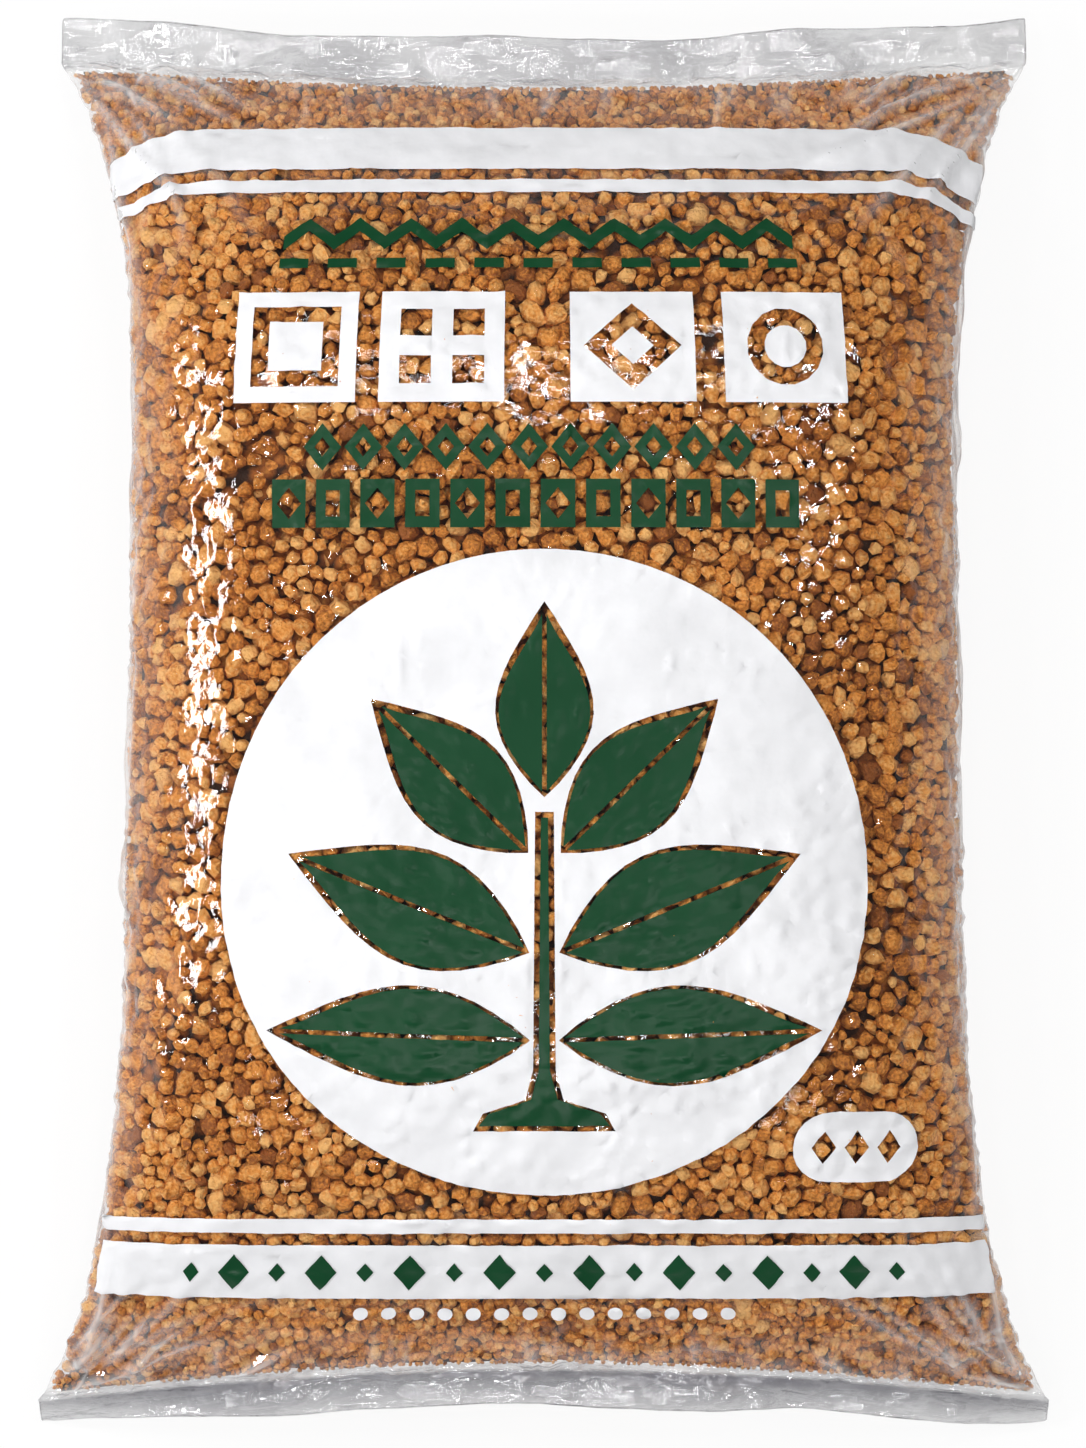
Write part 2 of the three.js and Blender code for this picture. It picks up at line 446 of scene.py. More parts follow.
def glossy_film(film):
    """Clear film: seen through head on, and mirroring at a slant. The sealed strips are hazier.
    The mesh tells how much film hangs loose (veil), creases in facets (creased) and is folded; along the
    folds and the facet edges near the corners white lines are painted, partly the film's whitening where it
    creases and partly painted highlight."""
    s = new_shading("clear_film")
    laid = s.node("TexCoord").out("UV")
    stretched = s.node("VectorMath", {"operation": "MULTIPLY"}, {0: laid, 1: (0.4, 1.3, 1.0)})
    veil, creased, pleat = s.attribute("veil"), s.attribute("creased"), s.attribute("pleat")

    cloud = s.noise(laid, 60.0, 2.0)
    wander = s.node("SeparateXYZ", None, {"Vector": laid}).out("Y") + (cloud - 0.5) * 0.006
    low_seal, top_seal = film.bottom_fin + 0.0036, film.bottom_fin + film.cut_length - 0.0028
    sealed = wander.math("GREATER_THAN", wander, top_seal) + wander.math("LESS_THAN", wander, low_seal)

    drift = s.noise(laid, 70.0, 1.0).out("Color")
    bent = s.node("VectorMath", {"operation": "MULTIPLY_ADD"}, {0: drift, 1: (0.008,) * 3, 2: laid})
    facet = s.node("TexVoronoi", {"feature": "DISTANCE_TO_EDGE"}, {"Vector": bent, "Scale": 36.0})
    # Painted highlight: white lines along the facet edges near the corners and along the folds, partly the
    # film's whitening where it creases.
    edge = s.mapped(facet, 0.0, 0.05, 1.0, 0.0)
    fold = edge * creased.math("SMOOTH_MAX", creased - 0.35, 0.0, 0.1) * (1.0 - sealed)
    line = fold * 0.22 + pleat * 0.42

    crease = s.noise(laid, 260.0, 3.0, Distortion=0.6)
    crumple = s.noise(stretched, 75.0, 2.0, Distortion=1.2)
    height = crease * (sealed * 0.32 + 0.1) + crumple * (sealed * 0.9 + veil * 0.3) + facet * creased * 0.9
    bump = s.bump(height, 0.7, 0.0030)
    slant = s.node("LayerWeight", None, {"Blend": 0.5, "Normal": bump}).out("Facing")

    streak = s.noise(stretched, 42.0, 3.0)
    mist = veil * (0.04 + cloud * 0.42 + sealed * (0.35 + streak * 0.80))
    # At a slant the haze thickens, partly the film's own haze along a longer path and partly painted sheen.
    haze = 0.003 + mist + slant**3.2 * 0.80 + line
    stops = (0.0, (0.95, 0.95, 0.95)), (0.5, film.body_colour), (1.0, film.strip_colour)
    # The colour goes white along the painted fold lines and blue-grey in the sealed strips.
    colour = s.ramp(0.5 + sealed * 0.5 - line * 1.2, *stops)
    body = s.principled(colour, 0.35, Alpha=haze, Normal=bump)
    mirror = s.node("BsdfAnisotropic", None, {"Color": (1, 1, 1), "Roughness": 0.035, "Normal": bump})
    share = 0.042 + slant**4.5 * 0.42 + veil * (1.0 - sealed) * 0.10 + creased * 0.06 + sealed * 0.03
    return s.surface(s.node("MixShader", None, {0: share, 1: body, 2: mirror}))


def printing_ink(name, colour):
    """Ink with a soft shine, a little uneven where the film creases."""
    s = new_shading(name)
    place = s.node("TexCoord").out("Object")
    cloud = s.noise(place, 38.0, 4.0)
    bump = s.bump(s.noise(place, 170.0, 2.0), 0.35, 0.0006)
    tone = s.ramp(cloud, (0.25, [0.86 * c for c in colour]), (0.65, colour))
    more = {"Normal": bump, "Specular IOR Level": 0.22}
    return s.surface(s.principled(tone, 0.30 + cloud * 0.16, **more))


def pale_floor():
    """White where it is seen, most of all far out, and lit near the bag so that its shadow shows."""
    s = new_shading("pale_floor")
    place = s.node("TexCoord").out("Object")
    lit = s.principled(s.ramp(s.noise(place, 40.0, 2.0), (0, (0.9,) * 3), (1, (0.94,) * 3)), 0.8)
    white = s.node("Emission", None, {"Color": (1, 1, 1), "Strength": 1.0})
    ray = s.node("LightPath")
    seen = s.greatest(*(ray.out(f"Is {kind} Ray") for kind in ("Camera", "Glossy", "Transmission")))
    out = s.node("VectorMath", {"operation": "LENGTH"}, {0: place}).out("Value")
    share = seen * (0.90 + s.mapped(out, 0.4, 1.3, 0.0, 0.10))
    return s.surface(s.node("MixShader", None, {0: share, 1: lit, 2: white}))


def white_world():
    """White where it is seen, and a pale horizon under a grey ceiling in what mirrors it."""
    s = Shading(bpy.data.worlds.new("white_world"))
    ray = s.node("LightPath")
    camera, glossy, passing = (ray.out(f"Is {kind} Ray") for kind in ("Camera", "Glossy", "Transmission"))
    height = s.node("SeparateXYZ", None, {"Vector": s.node("TexCoord").out("Generated")}).out("Z")
    low = s.mapped(height, 0.05, 0.45, 1.0, 0.0)
    seen = s.greatest(camera, passing, glossy * low)
    strength = 0.15 + seen * 0.85 - glossy * (1.0 - low) * 0.09
    return s.surface(s.node("Background", None, {"Color": (1, 1, 1), "Strength": strength}))


SHAPE_REACH = 1.24
SHARP_CORNER = math.radians(52)


def granule_shape(detail, seed):
    """An irregular pebble of about radius 1, with no corner further out than SHAPE_REACH."""
    bm = bmesh.new()
    if detail:
        bmesh.ops.create_cube(bm, size=1)
        bmesh.ops.subdivide_edges(bm, edges=bm.edges, cuts=1, use_grid_fill=True)
    else:
        bmesh.ops.create_icosphere(bm, subdivisions=1, radius=1)
    rng = np.random.default_rng(seed)
    offset = Vector(rng.uniform(-50, 50, 3))
    stretch = Vector((1.0, rng.uniform(0.72, 0.98), rng.uniform(0.62, 0.88)))
    stretch *= 1 / (stretch.x * stretch.y * stretch.z) ** (1 / 3)
    for vert in bm.verts:
        way = vert.co.normalized()
        lump = 1.05 + 0.50 * noise.noise(way * 1.45 + offset) + 0.24 * noise.noise(way * 3.3 - offset)
        vert.co = Vector((way.x * stretch.x, way.y * stretch.y, way.z * stretch.z)) * lump
    largest = max(vert.co.length for vert in bm.verts)
    bmesh.ops.scale(bm, verts=bm.verts, vec=[SHAPE_REACH / largest] * 3)
    mesh = mesh_of(bm, f"shape_{seed}")
    mesh.shade_smooth()
    mesh.set_sharp_from_angle(angle=SHARP_CORNER)
    return mesh


def instancing_tree(collection):
    """Geometry nodes that put one of the collection's shapes at each point."""
    tree = bpy.data.node_groups.new("granule_heap", "GeometryNodeTree")
    for way in ("INPUT", "OUTPUT"):
        tree.interface.new_socket("Geometry", in_out=way, socket_type="NodeSocketGeometry")
    nodes, links = tree.nodes, tree.links
    points, done = nodes.new("NodeGroupInput"), nodes.new("NodeGroupOutput")
    shapes = nodes.new("GeometryNodeCollectionInfo")
    shapes.inputs["Collection"].default_value = collection
    shapes.inputs["Separate Children"].default_value = True
    shapes.inputs["Reset Children"].default_value = True
    place = nodes.new("GeometryNodeInstanceOnPoints")
    place.inputs["Pick Instance"].default_value = True
    links.new(points.outputs[0], place.inputs["Points"])
    links.new(shapes.outputs[0], place.inputs["Instance"])
    for name, kind, socket in (
        ("shape", "INT", "Instance Index"),
        ("turn", "FLOAT_VECTOR", "Rotation"),
        ("size", "FLOAT", "Scale"),
    ):
        read = nodes.new("GeometryNodeInputNamedAttribute")
        read.data_type = kind
        read.inputs["Name"].default_value = name
        links.new(next(s for s in read.outputs if s.enabled), place.inputs[socket])
    real = nodes.new("GeometryNodeRealizeInstances")
    links.new(place.outputs[0], real.inputs[0])
    links.new(real.outputs[0], done.inputs[0])
    return tree


def heap(spots, detail, variants, seed):
    """One mesh of granules, a shape at each spot in its own size, turn and tint."""
    collection = bpy.data.collections.new("granule_shapes")
    shapes = []
    for k in range(variants):
        shape = bpy.data.objects.new(f"shape_{k:02d}", granule_shape(detail, seed + k))
        collection.objects.link(shape)
        shapes.append(shape)
    rng = np.random.default_rng(seed)
    count = len(spots)
    mesh = bpy.data.meshes.new("granule_points")
    mesh.vertices.add(count)
    set_coordinates(mesh, spots[:, :3])
    for name, kind, field, numbers in (
        ("size", "FLOAT", "value", spots[:, 3]),
        ("tint", "FLOAT", "value", rng.normal(0.61, 0.28, count)),
        ("turn", "FLOAT_VECTOR", "vector", rng.uniform(-math.pi, math.pi, (count, 3))),
        ("shape", "INT", "value", rng.integers(0, variants, count)),
    ):
        number_type = np.int32 if kind == "INT" else np.float32
        layer = mesh.attributes.new(name, kind, "POINT")
        layer.data.foreach_set(field, np.asarray(numbers, number_type).ravel())
    holder = add_object("granule_points", mesh)
    tree = instancing_tree(collection)
    holder.modifiers.new("heap", "NODES").node_group = tree
    made = evaluated_mesh(holder)
    remove_objects(holder, *shapes)
    bpy.data.collections.remove(collection)
    bpy.data.node_groups.remove(tree)
    return made


def spread_discs(places, radii, width, length, steps):
    """Push discs apart on a sheet that closes on itself across, until they hardly overlap."""
    ease = 0.4
    cell = 2 * radii.max()
    across, down = int(width // cell), int(length // cell) + 3
    number = np.arange(len(places))
    for _ in range(steps):
        column = np.minimum((places[:, 0] / width * across).astype(int), across - 1)
        row = (places[:, 1] / cell).astype(int) + 1
        box = row * across + column
        order = np.argsort(box, kind="stable")
        first = np.searchsorted(box[order], np.arange(across * down))
        rank = number - first[box[order]]
        table = np.full((across * down, rank.max() + 1), -1)
        table[box[order], rank] = order
        push = np.zeros_like(places)
        for row_step in (-1, 0, 1):
            for column_step in (-1, 0, 1):
                near = table[(row + row_step) * across + (column + column_step) % across]
                gap = places[near] - places[:, None]
                gap[..., 0] -= width * np.round(gap[..., 0] / width)
                reach = np.maximum(np.linalg.norm(gap, axis=-1), 1e-7)
                overlap = np.maximum(radii[near] + radii[:, None] - reach, 0)
                overlap[(near < 0) | (near == number[:, None])] = 0
                push -= (gap * (overlap / reach)[..., None]).sum(1)
        places = places + ease * push
        places[:, 0] %= width
        places[:, 1] = np.clip(places[:, 1], 0, length)
    return places


class Tube:
    """The filled film tube unrolled: `u` runs round it from the left fold, `v` up from the bottom seal."""

    def __init__(self, film, form):
        self.columns, self.rows = film.columns, film.rows
        self.width, self.length = film.width, film.cut_length
        front = filled_layer(form, 1, self.columns, self.rows)
        back = filled_layer(form, -1, self.columns, self.rows)[:, ::-1]
        points = np.concatenate([front[:, :-1], back[:, :-1]], 1)
        across = np.roll(points, -1, 1) - np.roll(points, 1, 1)
        normals = unit(np.cross(across, np.gradient(points, axis=0)))
        self.points = np.concatenate([points, points[:, :1]], 1)
        self.normals = np.concatenate([normals, normals[:, :1]], 1)

    def body(self):
        """The form's surface, to measure room inside it."""
        rows, columns, _ = self.points.shape
        corner = (np.arange(rows - 1)[:, None] * columns + np.arange(columns - 1)).ravel()
        faces = np.stack([corner, corner + 1, corner + columns + 1, corner + columns], -1)
        return BVHTree.FromPolygons(self.points.reshape(-1, 3).tolist(), faces.tolist())

    def at(self, places):
        """Points and outward normals at places (u, v)."""
        rows = places[:, 1] / self.length * self.rows
        columns = places[:, 0] / self.width * self.columns
        return bilinear(self.points, rows, columns), unit(bilinear(self.normals, rows, columns))

    def side_gap(self, places):
        """How much the film stands off at the side folds, in waves, and nothing at the corners."""
        u, v = places[:, 0], places[:, 1]
        from_fold = np.abs((u + self.width / 2) % self.width - self.width / 2)
        right = (u > self.width / 2) & (u < 1.5 * self.width)
        phase = np.where(right, 1.7, 0.2)
        most = np.where(right, 1.0, 0.35 + 0.5 * bell(v - 0.12, 0.06))
        wave = most * (0.45 + 0.33 * np.sin(v / 0.021 + phase) + 0.22 * np.sin(v / 0.0087 + 2 * phase))
        middle = np.clip(np.minimum(v, self.length - v) / 0.07, 0, 1)
        return bell(from_fold, 0.013) * wave * middle


def layer_spots(tube, sizes, rng, first, last, depth_share):
    """Places in a layer of granules between two places round the tube: point and normal on the film,
    radius, and depth under it. `depth_share` moves the layer in by that many middle radii."""
    push_steps = 24
    mean_area = math.pi * sizes.radius**2 * math.exp(2 * sizes.spread**2)
    count = int(2 * tube.width * tube.length * sizes.cover / mean_area)
    places = rng.uniform((0, 0), (2 * tube.width, tube.length), (count, 2))
    radii = sizes.radius * np.exp(rng.normal(0, sizes.spread, count))
    radii = np.clip(radii, sizes.smallest, sizes.largest)
    places = spread_discs(places, radii, 2 * tube.width, tube.length, push_steps)
    keep = (places[:, 0] >= first) & (places[:, 0] < last)
    places, radii = places[keep], radii[keep]
    points, normals = tube.at(places)
    sunk = np.maximum(rng.normal(0.0001, 0.0007, len(radii)), 0)
    depth = radii * SHAPE_REACH + sunk + depth_share * sizes.radius + sizes.stand_off * tube.side_gap(places)
    return points, normals, radii, depth


def sink(points, normals, depth, body):
    """Centres at a depth under the film, or half way through the bag where it is thinner."""
    skin = 0.0008
    centres = []
    for point, normal, deep in zip(points, normals, depth):
        way = Vector(-normal)
        room = body.ray_cast(Vector(point) + way * skin, way)[3] or 0.0
        centres.append(Vector(point) + way * min(deep, room / 2 + skin / 2))
    return centres


def fit(centres, radii, body, smallest):
    """Granules at those centres that lie inside the body, small enough to stay clear of it."""
    clear = 0.0001
    spots = []
    for centre, radius in zip(centres, radii):
        wall, normal, _, gap = body.find_nearest(centre)
        radius = min(radius, (gap - clear) / SHAPE_REACH)
        if radius > smallest and (Vector(centre) - wall).dot(normal) < 0:
            spots.append((*centre, radius))
    return np.array(spots)


def edge_spots(form, sizes, rng):
    """Places for small granules that fill the thin ends of the bag, right up to its seals. Two thirds of
    them lie nearer to the front, and the largest come first."""
    count, nearest_seal, furthest, widest = 16000, 0.0012, 0.036, 0.975
    smallest, largest, deepest = 0.0012, 0.0045, 0.0040
    from_seal = mix(nearest_seal, furthest, rng.random(count) ** 1.3)
    along = from_seal / form.film.length
    along = np.where(rng.random(count) < 0.5, along, 1 - along)
    x = rng.uniform(-widest, widest, count)
    front, back = form.point(x, along, 1), form.point(x, along, -1)
    near = np.where(rng.random(count) < 0.66, 1, -1)[:, None]
    outer, inner = np.where(near > 0, front, back), np.where(near > 0, back, front)
    across = np.linalg.norm(inner - outer, axis=1)
    uneven = np.exp(rng.normal(0, 1.4 * sizes.spread, count))
    radii = np.clip(0.85 * sizes.radius * uneven, smallest, largest)
    deep = radii * SHAPE_REACH + rng.uniform(0.0001, deepest, count)
    share = np.minimum(deep / np.maximum(across, 1e-6), 0.5)
    order = np.argsort(-radii)
    return mix(outer, inner, share[:, None])[order], radii[order]


def thin_out(layers, closeness):
    """Drop granules that lie too far inside one that comes before them. Returns what is kept."""
    spots = np.concatenate(layers)
    share = np.repeat(closeness, [len(layer) for layer in layers])
    tree = KDTree(len(spots))
    for k, spot in enumerate(spots):
        tree.insert(spot[:3], k)
    tree.balance()
    reach = spots[:, 3].max()
    kept = np.zeros(len(spots), bool)
    for k, spot in enumerate(spots):
        near = tree.find_range(spot[:3], share[k] * (spot[3] + reach))
        taken = [(gap, spots[other, 3]) for _, other, gap in near if kept[other]]
        kept[k] = all(gap >= share[k] * (spot[3] + radius) for gap, radius in taken)
    ends = np.cumsum([0] + [len(layer) for layer in layers])
    return [layer[kept[a:b]] for layer, a, b in zip(layers, ends[:-1], ends[1:])]


def two_grids(columns, rows):
    """A front grid and a back one that faces the other way, each vertex marked with its place."""
    bm = bmesh.new()
    laid = bm.verts.layers.float_vector.new(LAID)
    for layer in (1, -1):
        made = bmesh.ops.create_grid(bm, x_segments=columns, y_segments=rows, size=1)["verts"]
        for vert in made:
            vert[laid] = (vert.co.x, vert.co.y, layer)
        if layer < 0:
            bmesh.ops.reverse_faces(bm, faces=list({f for v in made for f in v.link_faces}))
    return bm, laid


def core_mesh(form):
    """The inside of the heap, a closed body well under its surface, painted dark as the shade there."""
    inset, reach_across, reach_along, reach_middle = 0.009, 0.955, 0.9945, 0.2
    bm, laid = two_grids(40, 56)
    x, y, layer = np.array([vert[laid] for vert in bm.verts]).T
    along = mix(0.5, reach_along, y)
    front, back = form.point(x * reach_across, along, 1), form.point(x * reach_across, along, -1)
    half = (front - back) / 2
    share = np.maximum(1 - inset / np.maximum(half[:, 2:], 1e-6), reach_middle)
    placed = (front + back) / 2 + layer[:, None] * half * share
    for vert, place in zip(bm.verts, placed):
        lump = noise.noise(Vector(place) * 190)
        drift = noise.noise(Vector((place[0] * 60, 7.0 * vert[laid].z, 0.0)))
        vert.co = Vector(place) + Vector((0, 0.002 * drift, 0.0012 * lump))
    bmesh.ops.bridge_loops(bm, edges=[e for e in bm.edges if e.is_boundary])
    bmesh.ops.recalc_face_normals(bm, faces=bm.faces)
    return mesh_of(bm, "core")


class SOILBAG_OT_granules(bpy.types.Operator):
    """Fill the bag with clay granules, layer by layer from the film inwards"""

    bl_idname = "soilbag.granules"
    bl_label = "Clay granules"

    def execute(self, context):
        film, sizes = context.scene.soil_bag_film, context.scene.soil_bag_granules
        form = FilledForm(film)
        tube = Tube(film, form)
        body = tube.body()
        rng = np.random.default_rng(14)
        width, second_layer = film.width, 1.9
        parts = (
            ("granules_front_left", 0.0, width / 2, 0.0),
            ("granules_front_right", width / 2, width, 0.0),
            ("granules_back_right", width, 1.5 * width, 0.0),
            ("granules_back_left", 1.5 * width, 2 * width, 0.0),
            ("granules_inner", 0.0, width, second_layer),
        )
        layers = []
        outer = rng.integers(1 << 30)
        for _, first, last, depth_share in parts:
            layer_rng = np.random.default_rng(outer if depth_share == 0 else outer + 1)
            points, normals, radii, depth = layer_spots(tube, sizes, layer_rng, first, last, depth_share)
            layers.append(fit(sink(points, normals, depth, body), radii, body, 0.0010))
        layers.append(fit(*edge_spots(form, sizes, rng), body, 0.0009))
        closeness = (0.65, 0.65, 0.65, 0.65, 0.62, 0.57)
        layers = thin_out(layers, closeness)
        layers[4] = np.concatenate([layers[4], layers.pop()])
        clay = fired_clay(sizes)
        for k, ((name, *_), spots) in enumerate(zip(parts, layers)):
            detailed = name != "granules_inner"
            variants = 8 if detailed else 6
            mesh = heap(spots, detailed, variants, 100 * (k + 1))
            finish_piece(name, mesh, clay, ("soil_fill",))
        finish_piece("granule_core", core_mesh(form), clay_in_shadow(sizes), ("soil_fill",))
        return {"FINISHED"}


# Rows of squares in the sealed strip at the top, 1, and at the bottom, -1.
FIN_ROWS = {1: 5, -1: 4}


def laid_rows(film):
    """Places of the film's rows along the flat tube, 0 at the bottom seal line."""
    bottom = np.linspace(-film.bottom_fin, 0, FIN_ROWS[-1] + 1)
    top = film.cut_length + np.linspace(0, film.top_fin, FIN_ROWS[1] + 1)
    return np.concatenate([bottom[:-1], np.linspace(0, film.cut_length, film.rows + 1), top[1:]])


def film_envelope(film, rows):
    """The film as two layers of squares welded all round, with its laid-out places as a UV map."""
    bm, laid = two_grids(film.columns, rows)
    uv = bm.loops.layers.uv.new("laid")
    flat_rows = laid_rows(film)
    front_shift, back_shift = 0.01, 0.5
    for face in bm.faces:
        for loop in face.loops:
            x, y, layer = loop.vert[laid]
            row = round((y + 1) / 2 * rows)
            shift = back_shift if layer < 0 else front_shift
            loop[uv].uv = (shift + (x + 1) / 2 * film.width, flat_rows[row] + film.bottom_fin)
    rim = [v for v in bm.verts if max(abs(v.co.x), abs(v.co.y)) > 1 - 0.1 / rows]
    for vert in rim:
        vert[laid].z = 0
    bmesh.ops.remove_doubles(bm, verts=rim, dist=1e-5)
    return mesh_of(bm, "film")


def waves(places, seed, count, longest, shortest, stretch=1.0):
    """A smooth uneven height over places, from waves of many lengths and ways."""
    rng = np.random.default_rng(seed)
    total = 0.0
    for _ in range(count):
        length = math.exp(rng.uniform(math.log(shortest), math.log(longest)))
        way = rng.uniform(0, math.pi)
        across = places[:, 0] * math.cos(way) / stretch + places[:, 1] * math.sin(way)
        total = total + np.sin(across * (2 * math.pi / length) + rng.uniform(0, 2 * math.pi)) * length
    return total / (longest * math.sqrt(count / 2))


def ridges(sheet, strokes):
    """Height of narrow folds over places on the flat film, and how sharply the film is folded there.
    A stroke is its start, its end, how far it bends, its height and its breadth."""
    total, mark = np.zeros(len(sheet)), np.zeros(len(sheet))
    for start, end, bend, height, breadth in strokes:
        way = np.subtract(end, start)
        length = np.linalg.norm(way)
        way = way / length
        from_start = sheet - start
        share = np.clip(from_start @ way / length, 0, 1)
        off = from_start @ np.array([-way[1], way[0]]) - bend * 4 * share * (1 - share)
        shape = bell(off, breadth) * np.sin(math.pi * share) ** 0.6
        total += height * shape
        mark = np.maximum(mark, shape**2 * min(height / 0.0030, 1))
    return total, mark


def film_folds(film):
    """Strokes for the folds that run from the corners, the seals and the side folds of the filled tube."""
    rng = np.random.default_rng(21)
    half, length = film.width / 2, film.cut_length
    corner_height = 0.0040
    strokes = []

    def add(start, end, least, most):
        """A stroke whose bend, height and breadth are drawn between two limits."""
        bend, height, breadth = rng.uniform(least, most)
        strokes.append((start, end, bend, height, breadth))

    for (x, y), (far_x, far_y), bend, breadth in (
        ((0.985, 0.004), (0.800, 0.011), -0.003, 0.0026),
        ((0.820, 0.009), (0.730, 0.036), -0.004, 0.0032),
        ((0.985, 0.010), (0.900, 0.052), 0.005, 0.0034),
        ((0.940, 0.012), (0.935, 0.080), 0.003, 0.0028),
        ((0.620, 0.004), (0.520, 0.020), 0.003, 0.0030),
        ((0.975, 0.545), (0.760, 0.470), 0.007, 0.0032),
        ((0.800, 0.548), (0.620, 0.520), -0.004, 0.0030),
        ((0.930, 0.520), (0.880, 0.440), 0.005, 0.0030),
    ):
        for side in (-1, 1):
            shift = 0.02 * side
            start, end = (side * x * half, y), (side * (far_x + shift) * half, far_y)
            strokes.append((start, end, side * bend, corner_height, breadth))
    for side in (-1, 1):
        for seal, up in ((0.0, 1), (length, -1)):
            for _ in range(7):
                start = (side * (half - rng.uniform(0.002, 0.03)), seal + up * rng.uniform(0.002, 0.02))
                angle, reach = rng.uniform(0.35, 1.3), rng.uniform(0.035, 0.11)
                end = (start[0] - side * reach * math.cos(angle), start[1] + up * reach * math.sin(angle))
                add(start, end, (-0.006, 0.0012, 0.002), (0.006, 0.003, 0.004))
        for _ in range(16):
            start = (side * (half - rng.uniform(0.006, 0.022)), rng.uniform(0.06, length - 0.1))
            end = (start[0] + rng.uniform(-0.008, 0.008), start[1] + rng.uniform(0.03, 0.08))
            add(start, end, (-0.005, 0.001, 0.0018), (0.005, 0.0026, 0.0032))
    for seal, up, fin in ((0.0, 1, film.bottom_fin), (length, -1, film.top_fin)):
        for _ in range(34):
            start = (rng.uniform(-0.95, 0.95) * half, seal - up * rng.uniform(0, fin / 2))
            end = (start[0] + rng.uniform(-0.008, 0.008), seal + up * rng.uniform(0.008, 0.035))
            add(start, end, (-0.003, 0.0006, 0.0015), (0.003, 0.0017, 0.003))
        for _ in range(26):
            start = (rng.uniform(-0.97, 0.97) * half, seal - up * rng.uniform(0.1, 0.9) * fin)
            angle, reach = rng.uniform(0, 2 * math.pi), rng.uniform(0.006, 0.02)
            end = (start[0] + reach * math.cos(angle), start[1] + reach * math.sin(angle) / 2)
            add(start, end, (-0.003, 0.0005, 0.0014), (0.003, 0.0012, 0.0026))
    return strokes


def start_points(film, laid, rows):
    """Where each film vertex starts on the filled form, and its column and row on the flat film."""
    form = FilledForm(film)
    layers = {}
    for layer in (1, -1):
        body = filled_layer(form, layer, film.columns, film.rows)
        gap = film.thickness * 2 if layer < 0 else 0.0
        bottom = form.fin(body[0], -1, FIN_ROWS[-1], gap)[::-1]
        top = form.fin(body[-1], 1, FIN_ROWS[1], gap)
        layers[layer] = np.array(bottom + list(body) + top)
    column = np.round((laid[:, 0] + 1) / 2 * film.columns).astype(int)
    row = np.round((laid[:, 1] + 1) / 2 * rows).astype(int)
    front = laid[:, 2] >= -0.5
    return np.where(front[:, None], layers[1][row, column], layers[-1][row, column]), column, row


def soil_under_film(film):
    """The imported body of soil, a little smaller and without its thin ends, as what the cloth meets."""
    inset, ear_y, ear_reach = 0.002, 0.26, 0.045
    bm = bmesh.new()
    bm.from_mesh(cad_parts["soil_fill"].data)
    bmesh.ops.remove_doubles(bm, verts=bm.verts, dist=1e-5)
    bm.normal_update()
    for vert in bm.verts:
        vert.co -= vert.normal * inset
    ears = [Vector((x * film.width / 2, y * ear_y, 0)) for x in (-1, 1) for y in (-1, 1)]

    def is_end(place):
        return abs(place.y) > film.length / 2 or min((place - ear).xy.length for ear in ears) < ear_reach

    bmesh.ops.delete(bm, geom=[vert for vert in bm.verts if is_end(vert.co)], context="VERTS")
    soil = add_object("soil_body", mesh_of(bm, "soil_body"))
    soil.modifiers.new("body", "COLLISION")
    soil.collision.thickness_outer = 0.001
    return soil


def settle(film, mesh, start, flat, pinned):
    """Let the film take up its own length round the soil by cloth simulation, each point by 4 mm at most."""
    frames, furthest = 20, 0.004
    holder = add_object("film_at_rest", mesh)
    holder.shape_key_add(name="Basis")
    rest = holder.shape_key_add(name="laid_flat")
    rest.data.foreach_set("co", flat.astype(np.float32).ravel())
    rest.value = 0
    held = holder.vertex_groups.new(name="held")
    held.add([int(k) for k in np.nonzero(pinned)[0]], 1.0, "REPLACE")
    soil = soil_under_film(film)
    cloth = holder.modifiers.new("film", "CLOTH")
    settings = cloth.settings
    settings.rest_shape_key = rest
    settings.quality = 6
    settings.mass = 0.1
    settings.tension_stiffness = settings.compression_stiffness = 100
    settings.shear_stiffness = 20
    settings.bending_stiffness = 0.015
    settings.tension_damping = settings.compression_damping = settings.shear_damping = 2
    settings.bending_damping = 0.5
    settings.effector_weights.gravity = 0
    settings.use_pressure = True
    settings.uniform_pressure_force = 3
    settings.vertex_group_mass = "held"
    settings.pin_stiffness = 1
    settings.air_damping = 2
    cloth.collision_settings.distance_min = 0.001
    cloth.collision_settings.use_self_collision = False
    cloth.point_cache.frame_start, cloth.point_cache.frame_end = 1, frames
    scene = bpy.context.scene
    for number in range(1, frames + 1):
        scene.frame_set(number)
    settled = evaluated_mesh(holder)
    move = coordinates(settled) - start
    scene.frame_set(1)
    remove_objects(holder, soil)
    bpy.data.meshes.remove(settled)
    moved = np.linalg.norm(move, axis=1, keepdims=True)
    return start + move * np.minimum(1, furthest / np.maximum(moved, 1e-9))


def settled_film(film, rows):
    """The film's mesh after it has gathered at its seals and settled, each square cut in four."""
    mesh = film_envelope(film, rows)
    laid = laid_places(mesh)
    start, column, row = start_points(film, laid, rows)
    flat_y = laid_rows(film)[row]
    flat_x = (column / film.columns - 0.5) * film.width * (1 + film.slack)
    flat = np.stack([flat_x, flat_y, 0 * flat_x], -1)
    gather = bell(np.minimum(flat_y, film.cut_length - flat_y), 0.028) * (1 - np.abs(laid[:, 0]) ** 8)
    start[:, 2] += waves(flat, 5, 14, 0.034, 0.010, 0.25) * 0.0011 * gather
    set_coordinates(mesh, start)
    on_floor = start[:, 2] < 0.0006
    pinned = on_floor | (row <= FIN_ROWS[-1]) | (row >= rows - FIN_ROWS[1])
    set_coordinates(mesh, settle(film, mesh.copy(), start, flat, pinned))
    coarse = add_object("film_coarse", mesh)
    finer = coarse.modifiers.new("finer", "SUBSURF")
    finer.levels = finer.render_levels = 1
    fine = evaluated_mesh(coarse)
    remove_objects(coarse)
    return fine


